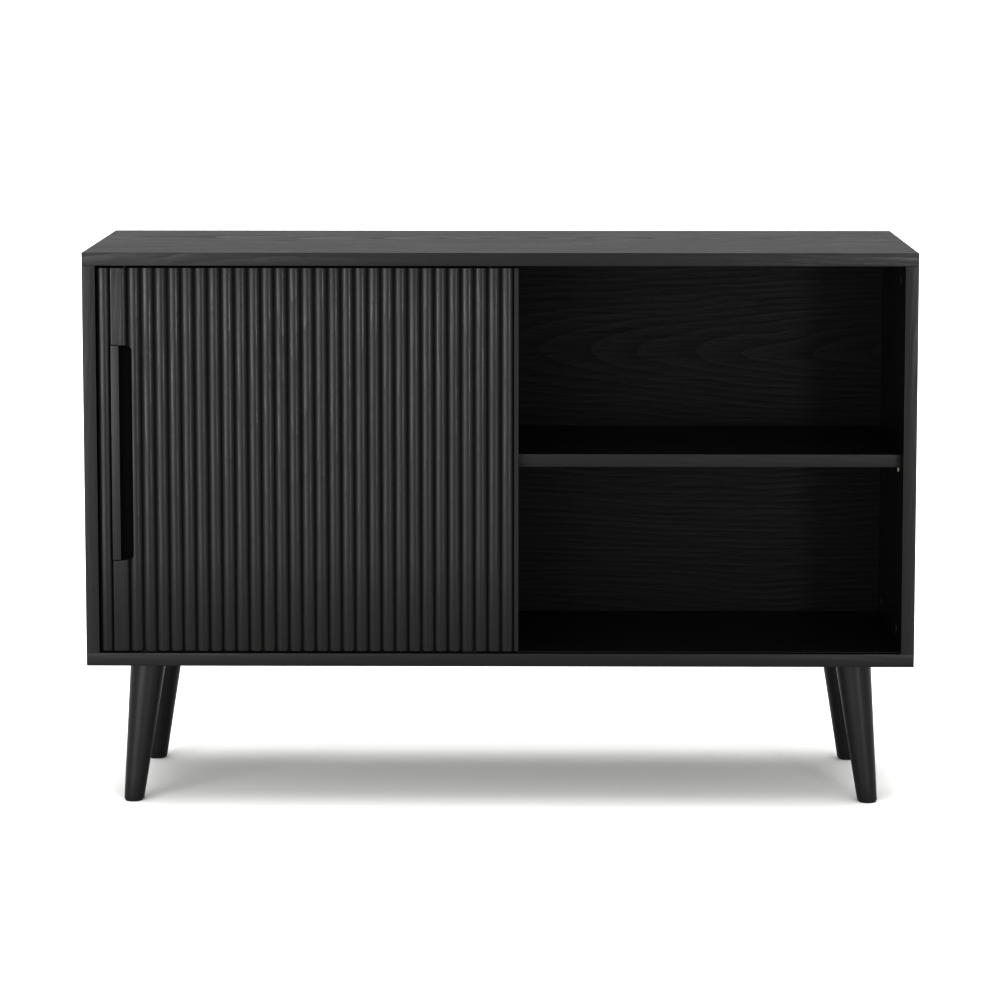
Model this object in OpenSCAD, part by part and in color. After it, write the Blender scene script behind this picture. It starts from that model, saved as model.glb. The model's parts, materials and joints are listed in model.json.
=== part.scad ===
// Sideboard buffet: a black wood-grain case on four splayed legs, with one reeded sliding door.
// X runs along the width, the front faces -Y, Z is up, and the origin is on the floor under the centre.

/* [Case] */
// Overall width of the case
case_w = 1200; // [1160:5:1300]
// Overall depth of the case
case_d = 400; // [380:5:450]
// Height of the case without its legs
case_h = 602; // [580:2:660]
// Thickness of every board
board = 19; // [18:1:20]
// Thickness of the edging glued on the boards
edging = 1; // [0.8:0.1:1]
// Distance from the front edge to the back panel
back_inset = 322; // [300:2:340]
// Thickness of the back panel
back_t = 6; // [4:0.5:6]

/* [Shelves] */
// Height of a shelf's underside above the bottom panel
shelf_rise = 270; // [240:2:290]
// Gap between a shelf and the board beside it
shelf_gap = 1; // [0.5:0.5:2]

/* [Door] */
// Pitch of the round reeds
reed_pitch = 19.2; // [19:0.1:19.4]
// How deep the grooves between the reeds are
reed_depth = 4.5; // [3.5:0.5:4.5]
// Number of reeds to the right of the flat rib
reed_count = 29; // [27:1:29]
// Width of the flat rib that carries the handle bar
rib_w = 24.5; // [24:0.5:26]
// Width of the flat strip at the door's right edge
strip_w = 6.3; // [5:0.1:8]
// Thickness of the door over its reeds
door_t = 18; // [18:0.5:19]
// How far the reeds lie behind the case's front edge
door_inset = 2; // [1:0.5:2]
// Gap between the door and each side panel at the ends of its travel
door_side_gap = 1; // [1:0.5:3]
// Gap between the door and the bottom panel
door_bottom_gap = 2; // [1.5:0.5:3]
// Gap between the door and the top panel
door_top_gap = 2.5; // [2:0.5:4]

/* [Handle] */
// Length of the finger recess
pull_h = 313; // [200:1:340]
// Height of the recess's middle above the bottom panel
pull_z = 292.5; // [280:0.5:300]
// Width of the handle bar
bar_w = 12.5; // [12:0.1:13]
// Depth of the finger recess
pull_depth = 12; // [10:0.5:12]

/* [Legs] */
// Height of the legs, glides included
leg_h = 215; // [180:5:240]
// Radius of a leg at the case
leg_top_r = 26.5; // [24:0.5:28]
// Radius of a leg at the floor
leg_foot_r = 14.3; // [13:0.1:18]
// How far a foot stands out sideways from the top of its leg
splay_x = 23.1; // [10:0.1:26]
// How far a foot stands out to the front or back from the top of its leg
splay_y = 14; // [5:1:16]
// Distance from the case's side to the middle of a front leg's top
front_leg_side = 81.6; // [75:0.2:95]
// Distance from the case's side to the middle of a rear leg's top
rear_leg_side = 86.7; // [75:0.2:95]
// Distance from the case's front or back edge to the middle of a leg's top
leg_edge = 80; // [75:1:90]

/* [Hidden] */
$fn = 48;
eps = 0.01;

// Colours of the finishes
grain_black = [0.10, 0.10, 0.10];
edge_black = [0.13, 0.13, 0.13];
leg_black = [0.09, 0.09, 0.09];
nickel = [0.72, 0.72, 0.70];
zinc = [0.62, 0.63, 0.65];
nylon_black = [0.06, 0.06, 0.06];
raw_beech = [0.76, 0.62, 0.44];

// Case: faces of the boards
total_h = leg_h + case_h;
floor_z = leg_h + board;
ceiling_z = total_h - board;
inner_h = ceiling_z - floor_z;
side_x = case_w / 2 - board;
front_y = -case_d / 2;
rear_y = case_d / 2;
back_y = front_y + back_inset;

// Back panel: it sits in grooves cut round the inside of the case
groove_depth = 8;
groove_play = 0.2;
back_lap = 7;

// Door: faces and travel
door_front = front_y + door_inset;
door_back = door_front + door_t;
door_left = -side_x + door_side_gap;
door_w = reed_pitch + rib_w + reed_count * reed_pitch + strip_w;
door_right = door_left + door_w;
door_bottom = floor_z + door_bottom_gap;
door_top = ceiling_z - door_top_gap;
door_h = door_top - door_bottom;
travel = side_x - door_side_gap - door_right;
valley_y = door_front + reed_depth;
reed_r = (pow(reed_depth, 2) + pow(reed_pitch / 2, 2)) / (2 * reed_depth);

// Everything behind the door starts here
door_clearance = 3;
inner_front = door_back + door_clearance;

// Flat rib: a small round on its left shoulder and a wide one on its right
rib_left = door_left + reed_pitch;
rib_right = rib_left + rib_w;
rib_left_r = 2.5;
rib_flank_w = 7.9;
rib_flank_r = (pow(reed_depth, 2) + pow(rib_flank_w, 2)) / (2 * reed_depth);
rib_flat_right = rib_right - rib_flank_w;

// Finger recess beside the handle bar
bar_right = rib_left + bar_w;
bar_t = 6;
bar_proud = 0.4;
bar_end_gap = 0.8;
pull_right = rib_right + 6.3;
pull_slope = 4;
pull_undercut = 4.7;
pull_corner_r = 8;
pull_mid_z = floor_z + pull_z;
bar_screw_x = rib_left + 4;
bar_screw_rise = 95;

// Track: a channel let into the bottom panel under the middle of the door's core
track_y = (valley_y + door_back) / 2;
track_w = 9;
track_depth = 8;
track_wall = 1.2;
track_floor = floor_z - track_depth + track_wall;
top_track_w = 8.4;

// Rollers in the door's bottom edge
roller_from_end = 70;
roller_r = 13;
roller_w = 5;
roller_lift = 0.2;
roller_z = track_floor + roller_lift + roller_r;
axle_r = 2;
axle_play = 0.04;
housing_w = 44;
housing_h = 28;
housing_t = 9;
flange_w = 74;
flange_t = 2;
housing_play = 0.2;
roller_screw_x = 30;
roller_xs = [door_left + roller_from_end, door_right - roller_from_end];

// Sprung guides in the door's top edge
guide_from_end = 40;
sleeve_r = 4.5;
sleeve_h = 36;
sleeve_bore_r = 3.05;
sleeve_lip = 2;
lip_bore_r = 2.55;
plunger_r = 3;
pin_r = 2.5;
pin_rise = 8.5;
shoulder_h = 12;
guide_play = 0.05;
spring_wire_r = 0.35;
spring_turns = 7;
guide_xs = [door_left + guide_from_end, door_right - guide_from_end];
shoulder_z = door_top - sleeve_lip;
sleeve_floor_t = 2;
spring_low = door_top - sleeve_h + sleeve_floor_t;
spring_high = shoulder_z - shoulder_h;

// Hardware of the case
cam_r = 7.5;
cam_depth = 12.5;
cam_from_end = 24;
cam_play = 0.1;
cam_bolt_r = 3;
cam_thread_r = 2.5;
cam_thread_l = 11;
cam_ys = [-130, 80];
cap_r = 8.5;
cap_t = 1;
dowel_r = 4;
dowel_l = 30;
dowel_ys = [-92, 42];
hole_play = 0.1;
joint_xs = [-side_x - board / 2, 0, side_x + board / 2];

// Shelf supports: an angle with a pin
support_w = 10;
support_h = 12;
support_reach = 9;
support_t = 1.2;
support_pin_r = 2.45;
support_hole_r = 2.5;
support_hole_depth = 8;
support_from_edge = 45;
shelf_low = floor_z + shelf_rise;
shelf_rear = back_y - 2;
support_ys = [inner_front + support_from_edge, shelf_rear - support_from_edge];
support_pin_z = shelf_low - 7;
divider_half = board / 2;

// Legs: plates, bolts and glides
plate_w = 70;
plate_t = 3;
plate_corner = 6;
plate_screw_pitch = 26;
plate_screw_r = 2;
plate_screw_l = 14;
bolt_r = 4;
bolt_down = 30;
bolt_up = 10;
bolt_pocket_r = 9;
glide_t = 1.5;
glide_r = 12.8;
foot_spread = norm([splay_x, splay_y]);
leg_tilt = atan2(foot_spread, leg_h);
leg_len = norm([splay_x, splay_y, leg_h]);
leg_turn = atan2(splay_y, splay_x);
LEGS = [[-1, -1], [1, -1], [-1, 1], [1, 1]];

// Wall bracket
bracket_w = 20;
bracket_leg = 40;
bracket_t = 2;
bracket_hole_r = 2.75;
bracket_hole_drop = 23;

// A box given by its lowest and highest corners
module block(low, high) {
  translate(low) cube(high - low);
}

// A round bar along X, Y or Z from a point
module bar_x(p, r, l) {
  translate(p) rotate([0, 90, 0]) cylinder(r = r, h = l);
}

module bar_y(p, r, l) {
  translate(p) rotate([-90, 0, 0]) cylinder(r = r, h = l);
}

module bar_z(p, r, l) {
  translate(p) cylinder(r = r, h = l);
}

// A countersunk wood screw along +Z, its head's face at the origin
module wood_screw(shank_r, head_r, length) {
  cylinder(r1 = head_r, r2 = shank_r, h = head_r - shank_r);
  cylinder(r = shank_r, h = length);
}

// The same screw's hole
module screw_hole(shank_r, head_r, length) {
  wood_screw(shank_r + hole_play, head_r + hole_play, length + hole_play);
}

// A frame of edging round a panel
module edging_ring(z) {
  difference() {
    block([-case_w / 2, front_y, z], [case_w / 2, rear_y, z + board]);
    block([-case_w / 2 + edging, front_y + edging, z - 1], [case_w / 2 - edging, rear_y - edging, z + board + 1]);
  }
}

// A full-size panel without its edging
module panel_core(z) {
  block([-case_w / 2 + edging, front_y + edging, z], [case_w / 2 - edging, rear_y - edging, z + board]);
}

// Holes for the dowels and the cam bolts' threads in the top (up = 1) or bottom (up = -1) panel
module joint_holes(face_z, up) {
  for (x = joint_xs) {
    for (y = dowel_ys) {
      bar_z([x, y, face_z - (up < 0 ? dowel_l / 2 + hole_play : 0)], dowel_r + hole_play, dowel_l / 2 + hole_play);
    }
    for (y = cam_ys) {
      bar_z([x, y, face_z - (up < 0 ? cam_thread_l + hole_play : 0)], cam_thread_r + hole_play,
        cam_thread_l + hole_play);
    }
  }
}

// Holes in the ends of an upright board: dowels, cam bolts and cams, with the cams bored from face_x along dir
module upright_holes(x, face_x, dir) {
  for (up = [0, 1]) {
    end_z = up == 1 ? ceiling_z : floor_z;
    inward = up == 1 ? -1 : 1;
    for (y = dowel_ys) {
      bar_z([x, y, end_z + (up == 1 ? -dowel_l / 2 - hole_play : 0)], dowel_r + hole_play, dowel_l / 2 + hole_play);
    }
    for (y = cam_ys) {
      bar_z([x, y, end_z + (up == 1 ? -cam_from_end : 0)], cam_bolt_r + hole_play, cam_from_end);
      bar_x([dir > 0 ? face_x : face_x - cam_depth, y, end_z + inward * cam_from_end], cam_r, cam_depth);
    }
  }
}

// Blind holes for the shelf supports' pins, from a board's face into the board
module support_holes(face_x, dir) {
  for (y = support_ys) {
    bar_x([dir > 0 ? face_x : face_x - support_hole_depth, y, support_pin_z], support_hole_r, support_hole_depth);
  }
}

module top_panel() color(grain_black) {
  difference() {
    panel_core(ceiling_z);
    block([-side_x, track_y - top_track_w / 2, ceiling_z - 1], [side_x, track_y + top_track_w / 2, ceiling_z + track_depth]);
    block([-side_x - groove_depth, back_y - groove_play, ceiling_z - 1],
      [side_x + groove_depth, back_y + back_t + groove_play, ceiling_z + groove_depth]);
    joint_holes(ceiling_z, 1);
    translate([0, rear_y - bracket_leg / 2, ceiling_z]) screw_hole(2, 2, plate_screw_l);
  }
}

module top_panel_edging() color(edge_black) edging_ring(ceiling_z);

module bottom_panel() color(grain_black) {
  difference() {
    panel_core(leg_h);
    block([-side_x, track_y - track_w / 2, floor_z - track_depth], [side_x, track_y + track_w / 2, floor_z + 1]);
    block([-side_x - groove_depth, back_y - groove_play, floor_z - groove_depth],
      [side_x + groove_depth, back_y + back_t + groove_play, floor_z + 1]);
    joint_holes(floor_z, -1);
    for (leg = LEGS) {
      at_leg_top(leg) bar_z([0, 0, -5], bolt_pocket_r, bolt_up + 7);
      plate_screw_places(leg) bar_z([0, 0, 0], plate_screw_r + hole_play, plate_screw_l - plate_t + 1);
    }
  }
}

module bottom_panel_edging() color(edge_black) edging_ring(leg_h);

// A side panel; side is -1 for the left and 1 for the right
module side_panel(side) {
  inner = side * side_x;
  difference() {
    block([side > 0 ? side_x : -case_w / 2, front_y + edging, floor_z],
      [side > 0 ? case_w / 2 : -side_x, rear_y, ceiling_z]);
    block([side > 0 ? inner - 1 : inner - groove_depth, back_y - groove_play, floor_z - 1],
      [side > 0 ? inner + groove_depth : inner + 1, back_y + back_t + groove_play, ceiling_z + 1]);
    upright_holes(side * (side_x + board / 2), inner, side);
    support_holes(inner, side);
  }
}

module side_edging(side) {
  block([side > 0 ? side_x : -case_w / 2, front_y, floor_z], [side > 0 ? case_w / 2 : -side_x, front_y + edging, ceiling_z]);
}

module left_side_panel() color(grain_black) side_panel(-1);
module left_side_edging() color(edge_black) side_edging(-1);
module right_side_panel() color(grain_black) side_panel(1);
module right_side_edging() color(edge_black) side_edging(1);

module centre_divider() color(grain_black) {
  difference() {
    block([-divider_half, inner_front + edging, floor_z], [divider_half, back_y, ceiling_z]);
    upright_holes(0, -divider_half, 1);
    support_holes(-divider_half, 1);
    support_holes(divider_half, -1);
    for (z = back_screw_zs()) {
      bar_y([0, back_y - 20, z], 1.5 + hole_play, 20 + 1);
    }
  }
}

module divider_edging() color(edge_black) {
  block([-divider_half, inner_front, floor_z], [divider_half, inner_front + edging, ceiling_z]);
}

// Heights of the three screws through the back panel into the divider
function back_screw_zs() = [for (i = [0:2]) floor_z + inner_h * (0.15 + 0.35 * i)];

module back_panel() color(grain_black) {
  difference() {
    block([-side_x - back_lap, back_y, floor_z - back_lap], [side_x + back_lap, back_y + back_t, ceiling_z + back_lap]);
    for (z = back_screw_zs()) {
      translate([0, back_y + back_t, z]) rotate([90, 0, 0]) screw_hole(1.5, 3, back_t + 1);
    }
  }
}

module back_panel_screws() color(zinc) {
  for (z = back_screw_zs()) {
    translate([0, back_y + back_t, z]) rotate([90, 0, 0]) wood_screw(1.5, 3, 24);
  }
}

// A shelf's board between two faces
module shelf(low_x, high_x) {
  block([low_x, inner_front + edging, shelf_low], [high_x, shelf_rear, shelf_low + board]);
}

module shelf_edging(low_x, high_x) {
  block([low_x, inner_front, shelf_low], [high_x, inner_front + edging, shelf_low + board]);
}

module left_shelf() color(grain_black) shelf(-side_x + shelf_gap, -divider_half - shelf_gap);
module left_shelf_edging() color(edge_black) shelf_edging(-side_x + shelf_gap, -divider_half - shelf_gap);
module right_shelf() color(grain_black) shelf(divider_half + shelf_gap, side_x - shelf_gap);
module right_shelf_edging() color(edge_black) shelf_edging(divider_half + shelf_gap, side_x - shelf_gap);

// One shelf support on a board's face; dir is the way from the face into the bay
module shelf_support(face_x, dir, y) {
  translate([face_x, y, shelf_low]) scale_x(dir) {
    block([0, -support_w / 2, -support_h], [support_t, support_w / 2, 0]);
    block([0, -support_w / 2, -support_t], [support_reach, support_w / 2, 0]);
    bar_x([-support_hole_depth + 0.5, 0, support_pin_z - shelf_low], support_pin_r, support_hole_depth);
  }
}

// Mirrors its children across the YZ plane when dir is negative
module scale_x(dir) {
  if (dir < 0) {
    mirror([1, 0, 0]) children();
  } else {
    children();
  }
}

module shelf_supports(low_face, high_face) {
  for (y = support_ys) {
    shelf_support(low_face, 1, y);
    shelf_support(high_face, -1, y);
  }
}

module left_shelf_supports() color(nickel) shelf_supports(-side_x, -divider_half);
module right_shelf_supports() color(nickel) shelf_supports(divider_half, side_x);

// Outline of the reeds, seen from above: discs whose fronts line up, cut off behind the grooves
module reed_outline() {
  intersection() {
    union() {
      translate([door_left + reed_pitch / 2, door_front + reed_r]) circle(r = reed_r);
      for (i = [0:reed_count - 1]) {
        translate([rib_right + (i + 0.5) * reed_pitch, door_front + reed_r]) circle(r = reed_r);
      }
    }
    translate([door_left, door_front - 1]) square([door_w - strip_w, reed_depth + 2]);
  }
}

// Outline of the flat rib
module rib_outline() {
  intersection() {
    union() {
      translate([rib_left + rib_left_r, door_front + rib_left_r]) circle(r = rib_left_r);
      translate([rib_left, door_front + rib_left_r]) square([rib_w - rib_flank_w, reed_depth]);
      translate([rib_left + rib_left_r, door_front]) square([rib_w - rib_flank_w - rib_left_r, reed_depth + 1]);
      translate([rib_flat_right, door_front + rib_flank_r]) circle(r = rib_flank_r);
    }
    translate([rib_left, door_front - 1]) square([rib_w, reed_depth + 2]);
  }
}

// The finger recess: a slot with a sloping right wall, undercut below the handle bar
module finger_recess() {
  low_z = pull_mid_z - pull_h / 2;
  floor_y = door_front + pull_depth;
  intersection() {
    translate([0, 0, low_z]) linear_extrude(pull_h) {
      polygon([
        [bar_right - pull_undercut, floor_y], [pull_right - pull_slope, floor_y],
        [pull_right, door_front + reed_depth], [pull_right, door_front - 1],
        [bar_right - pull_undercut, door_front - 1]
      ]);
    }
    union() {
      block([rib_left, door_front - 2, low_z], [pull_right - pull_corner_r, door_back, low_z + pull_h]);
      block([rib_left, door_front - 2, low_z + pull_corner_r],
        [pull_right + 1, door_back, low_z + pull_h - pull_corner_r]);
      for (z = [low_z + pull_corner_r, low_z + pull_h - pull_corner_r]) {
        bar_y([pull_right - pull_corner_r, door_front - 2, z], pull_corner_r, door_t);
      }
    }
  }
}

module door_panel() color(grain_black) {
  difference() {
    translate([0, 0, door_bottom]) linear_extrude(door_h) {
      translate([door_left, valley_y]) square([door_w, door_t - reed_depth]);
      translate([door_right - strip_w, door_front + 1]) square([strip_w, reed_depth]);
      reed_outline();
      rib_outline();
    }
    block([rib_left - 1, door_front - 1, pull_mid_z - pull_h / 2 - bar_end_gap],
      [bar_right, door_front + bar_t, pull_mid_z + pull_h / 2 + bar_end_gap]);
    finger_recess();
    for (x = roller_xs) {
      translate([x, track_y, door_bottom]) roller_mortise();
    }
    for (x = guide_xs) {
      bar_z([x, track_y, door_top - sleeve_h], sleeve_r + guide_play, sleeve_h + 1);
    }
    for (z = bar_screw_zs()) {
      translate([bar_screw_x, door_back, z]) rotate([90, 0, 0]) screw_hole(1.75, 3.5, door_t);
    }
  }
}

// Heights of the handle bar's two screws
function bar_screw_zs() = [pull_mid_z - bar_screw_rise, pull_mid_z + bar_screw_rise];

module handle_bar() color(edge_black) {
  low_z = pull_mid_z - pull_h / 2;
  difference() {
    block([rib_left + 0.1, door_front - bar_proud, low_z], [bar_right, door_front + bar_t, low_z + pull_h]);
    for (z = bar_screw_zs()) {
      bar_y([bar_screw_x, door_front + 1.5, z], 1.75 + hole_play, bar_t);
    }
  }
}

module handle_bar_screws() color(zinc) {
  for (z = bar_screw_zs()) {
    translate([bar_screw_x, door_back, z]) rotate([90, 0, 0]) wood_screw(1.75, 3.5, door_t - 2);
  }
}

// A U-shaped channel along the case, open upwards
module channel(width) {
  difference() {
    block([-side_x, -width / 2, 0], [side_x, width / 2, track_depth]);
    block([-side_x - 1, track_wall - width / 2, track_wall], [side_x + 1, width / 2 - track_wall, track_depth + 1]);
  }
}

module bottom_track() color(nylon_black) {
  translate([0, track_y, floor_z - track_depth]) channel(track_w);
}

module top_track() color(nylon_black) {
  translate([0, track_y, ceiling_z + track_depth]) rotate([180, 0, 0]) channel(top_track_w);
}

module track_stops() color(nylon_black) {
  stop_play = 0.4;
  half_w = top_track_w / 2 - track_wall - 0.1;
  left_end = guide_xs[0] - pin_r - stop_play;
  right_end = guide_xs[1] + travel + pin_r + stop_play;
  low_z = ceiling_z + 0.5;
  high_z = ceiling_z + track_depth - track_wall;
  block([-side_x, track_y - half_w, low_z], [left_end, track_y + half_w, high_z]);
  block([right_end, track_y - half_w, low_z], [side_x, track_y + half_w, high_z]);
}

// The space cut in the door's bottom edge for one roller housing
module roller_mortise() {
  half = housing_w / 2 + housing_play;
  depth = housing_t / 2 + housing_play;
  block([-half, -depth, -1], [half, depth, housing_h + housing_play]);
  block([-flange_w / 2 - housing_play, -depth, -1], [flange_w / 2 + housing_play, depth, flange_t]);
  for (side = [-1, 1]) {
    bar_z([side * roller_screw_x, 0, 0], 1.5 + hole_play, 22);
  }
}

// One roller housing, its flange flush with the door's bottom edge
module roller_housing(x) {
  slot_half = roller_r + 1.2;
  slot_depth = roller_w / 2 + 0.3;
  translate([x, track_y, door_bottom]) difference() {
    union() {
      block([-housing_w / 2, -housing_t / 2, 0], [housing_w / 2, housing_t / 2, housing_h]);
      block([-flange_w / 2, -housing_t / 2, 0], [flange_w / 2, housing_t / 2, flange_t]);
    }
    block([-slot_half, -slot_depth, -1], [slot_half, slot_depth, roller_z - door_bottom + roller_r + 1.2]);
    bar_y([0, -housing_t, roller_z - door_bottom], axle_r + axle_play, 2 * housing_t);
    for (side = [-1, 1]) {
      translate([side * roller_screw_x, 0, 0]) screw_hole(1.5, 3, 10);
    }
  }
}

module roller_wheel(x) {
  difference() {
    bar_y([x, track_y - roller_w / 2, roller_z], roller_r, roller_w);
    bar_y([x, track_y - roller_w, roller_z], axle_r + axle_play, 2 * roller_w);
  }
}

module roller_axle(x) {
  bar_y([x, track_y - housing_t / 2 + 0.2, roller_z], axle_r, housing_t - 0.4);
}

module left_roller_housing() color(nylon_black) roller_housing(roller_xs[0]);
module right_roller_housing() color(nylon_black) roller_housing(roller_xs[1]);
module left_roller_wheel() color(nylon_black) roller_wheel(roller_xs[0]);
module right_roller_wheel() color(nylon_black) roller_wheel(roller_xs[1]);
module left_roller_axle() color(zinc) roller_axle(roller_xs[0]);
module right_roller_axle() color(zinc) roller_axle(roller_xs[1]);

module roller_housing_screws() color(zinc) {
  for (x = roller_xs) {
    for (side = [-1, 1]) {
      translate([x + side * roller_screw_x, track_y, door_bottom]) wood_screw(1.5, 3, 20);
    }
  }
}

// The sleeve of one sprung guide: closed below, with a lip above that keeps the plunger in
module guide_sleeve(x) {
  translate([x, track_y, door_top - sleeve_h]) difference() {
    cylinder(r = sleeve_r, h = sleeve_h);
    bar_z([0, 0, sleeve_floor_t], sleeve_bore_r, sleeve_h - sleeve_floor_t - sleeve_lip);
    bar_z([0, 0, sleeve_h - sleeve_lip - eps], lip_bore_r, sleeve_lip + 1);
  }
}

// The plunger of one sprung guide: a pin that stands in the top channel, on a wider shoulder
module guide_plunger(x) {
  translate([x, track_y, shoulder_z - shoulder_h]) {
    cylinder(r = plunger_r, h = shoulder_h - 0.1);
    cylinder(r = pin_r, h = shoulder_h + sleeve_lip + pin_rise - 1);
    translate([0, 0, shoulder_h + sleeve_lip + pin_rise - 1]) cylinder(r1 = pin_r, r2 = pin_r - 1, h = 1);
  }
}

// A point on the spring's helix, and a ring of its wire
helix_r = sleeve_bore_r - spring_wire_r - 0.2;
helix_rise = spring_high - spring_low - 2 * spring_wire_r - 0.2;
helix_steps = spring_turns * 14;
wire_sides = 6;
function helix_ring(i) =
  let (turn = 360 * spring_turns * i / helix_steps, z = helix_rise * i / helix_steps)
  [for (k = [0:wire_sides - 1])
    let (a = 360 * k / wire_sides, r = helix_r + spring_wire_r * cos(a))
    [r * cos(turn), r * sin(turn), z + spring_wire_r * sin(a)]];

// The compression spring under one plunger
module guide_spring(x) {
  points = [for (i = [0:helix_steps]) each helix_ring(i)];
  walls = [for (i = [0:helix_steps - 1]) for (k = [0:wire_sides - 1])
    let (a = i * wire_sides + k, b = i * wire_sides + (k + 1) % wire_sides)
    each [[a, a + wire_sides, b + wire_sides], [a, b + wire_sides, b]]];
  first = [for (k = [0:wire_sides - 1]) k];
  last = [for (k = [0:wire_sides - 1]) helix_steps * wire_sides + wire_sides - 1 - k];
  translate([x, track_y, spring_low + spring_wire_r + 0.1]) polyhedron(points, concat(walls, [first, last]));
}

module left_guide_sleeve() color(nylon_black) guide_sleeve(guide_xs[0]);
module right_guide_sleeve() color(nylon_black) guide_sleeve(guide_xs[1]);
module left_guide_plunger() color(nylon_black) guide_plunger(guide_xs[0]);
module right_guide_plunger() color(nylon_black) guide_plunger(guide_xs[1]);
module left_guide_spring() color(zinc) guide_spring(guide_xs[0]);
module right_guide_spring() color(zinc) guide_spring(guide_xs[1]);

// Middle of a leg's top, on the case's underside; leg is [side, front or back] as -1 or 1
function leg_top(leg) = [
  leg[0] * (case_w / 2 - (leg[1] < 0 ? front_leg_side : rear_leg_side)),
  leg[1] * (case_d / 2 - leg_edge),
  leg_h
];

// Puts its children at the top of a leg, their Z along the leg's axis and pointing up
module at_leg_top(leg) {
  translate(leg_top(leg)) rotate([0, 0, leg_heading(leg)]) rotate([0, -leg_tilt, 0]) children();
}

// Direction in which a leg leans out, as an angle about Z
function leg_heading(leg) = atan2(leg[1] * splay_y, leg[0] * splay_x);

// Puts its children at each of a leg plate's four screws
module plate_screw_places(leg) {
  for (sx = [-1, 1]) {
    for (sy = [-1, 1]) {
      translate(leg_top(leg) + [sx * plate_screw_pitch, sy * plate_screw_pitch, 0]) children();
    }
  }
}

module leg(leg) {
  overrun = 30;
  taper = (leg_top_r - leg_foot_r) / leg_len;
  intersection() {
    difference() {
      at_leg_top(leg) translate([0, 0, -leg_len - overrun]) {
        cylinder(r1 = leg_foot_r - taper * overrun, r2 = leg_top_r + taper * overrun, h = leg_len + 2 * overrun);
      }
      at_leg_top(leg) bar_z([0, 0, -bolt_down - 2], bolt_r + hole_play, bolt_down + 2 * overrun);
    }
    block([-case_w, -case_d, glide_t], [case_w, case_d, leg_h - plate_t]);
  }
}

// A square plate with round corners, bored for the hanger bolt and four screws
module leg_plate(leg) {
  c = leg_top(leg);
  half = plate_w / 2;
  low_z = leg_h - plate_t;
  difference() {
    union() {
      block([c[0] - half, c[1] - half + plate_corner, low_z], [c[0] + half, c[1] + half - plate_corner, leg_h]);
      block([c[0] - half + plate_corner, c[1] - half, low_z], [c[0] + half - plate_corner, c[1] + half, leg_h]);
      for (sx = [-1, 1]) {
        for (sy = [-1, 1]) {
          bar_z([c[0] + sx * (half - plate_corner), c[1] + sy * (half - plate_corner), low_z], plate_corner, plate_t);
        }
      }
    }
    at_leg_top(leg) bar_z([0, 0, -2 * plate_t], bolt_r + hole_play, 4 * plate_t);
    plate_screw_places(leg) translate([0, 0, -plate_t]) screw_hole(plate_screw_r, 4, plate_t + 1);
  }
}

module front_left_leg() color(leg_black) leg(LEGS[0]);
module front_right_leg() color(leg_black) leg(LEGS[1]);
module rear_left_leg() color(leg_black) leg(LEGS[2]);
module rear_right_leg() color(leg_black) leg(LEGS[3]);
module front_left_leg_plate() color(zinc) leg_plate(LEGS[0]);
module front_right_leg_plate() color(zinc) leg_plate(LEGS[1]);
module rear_left_leg_plate() color(zinc) leg_plate(LEGS[2]);
module rear_right_leg_plate() color(zinc) leg_plate(LEGS[3]);

module leg_hanger_bolts() color(zinc) {
  for (leg = LEGS) {
    at_leg_top(leg) bar_z([0, 0, -bolt_down], bolt_r, bolt_down + bolt_up);
  }
}

module leg_plate_screws() color(zinc) {
  for (leg = LEGS) {
    plate_screw_places(leg) translate([0, 0, -plate_t]) wood_screw(plate_screw_r, 4, plate_screw_l);
  }
}

module leg_glides() color(nylon_black) {
  for (leg = LEGS) {
    foot = leg_top(leg) + [leg[0] * splay_x, leg[1] * splay_y, -leg_h];
    bar_z(foot, glide_r, glide_t);
  }
}

// Puts its children at each cam: origin in the bolt's axis at the board's end, Z out of the end, X out of the bored face
module cam_places() {
  for (i = [0:2]) {
    for (up = [-1, 1]) {
      for (y = cam_ys) {
        translate([joint_xs[i], y, up > 0 ? ceiling_z : floor_z]) scale_x(i == 0 ? 1 : -1) {
          if (up > 0) {
            children();
          } else {
            mirror([0, 0, 1]) children();
          }
        }
      }
    }
  }
}

// Cams lie flush with the bored face and are slotted for the bolt
module cam_locks() color(zinc) {
  cam_places() difference() {
    bar_x([board / 2 - cam_depth + 0.3, 0, -cam_from_end], cam_r - cam_play, cam_depth - 0.5);
    bar_z([0, 0, -cam_from_end - eps], cam_bolt_r + hole_play, cam_from_end);
    block([board / 2 - 1.7, -5, -cam_from_end - 0.7], [board / 2 + 1, 5, -cam_from_end + 0.7]);
  }
}

module cam_bolts() color(zinc) {
  cam_places() {
    bar_z([0, 0, -cam_from_end + 0.2], cam_bolt_r, cam_from_end - 0.2);
    bar_z([0, 0, 0], cam_thread_r, cam_thread_l);
  }
}

// Flat caps that hide the cams
module cam_caps() color(nylon_black) {
  cam_places() bar_x([board / 2, 0, -cam_from_end], cap_r, cap_t);
}

module case_dowels() color(raw_beech) {
  for (x = joint_xs) {
    for (z = [floor_z, ceiling_z]) {
      for (y = dowel_ys) {
        bar_z([x, y, z - dowel_l / 2], dowel_r, dowel_l);
      }
    }
  }
}

// An angle under the top panel, its upright leg in the case's rear plane and bored for a screw into the wall
module wall_bracket() color(zinc) {
  difference() {
    union() {
      block([-bracket_w / 2, rear_y - bracket_leg, ceiling_z - bracket_t], [bracket_w / 2, rear_y, ceiling_z]);
      block([-bracket_w / 2, rear_y - bracket_t, ceiling_z - bracket_leg], [bracket_w / 2, rear_y, ceiling_z]);
    }
    bar_y([0, rear_y - 2 * bracket_t, ceiling_z - bracket_hole_drop], bracket_hole_r, 3 * bracket_t);
    translate([0, rear_y - bracket_leg / 2, ceiling_z - bracket_t]) screw_hole(2, 3.8, 2 * bracket_t);
  }
}

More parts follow.
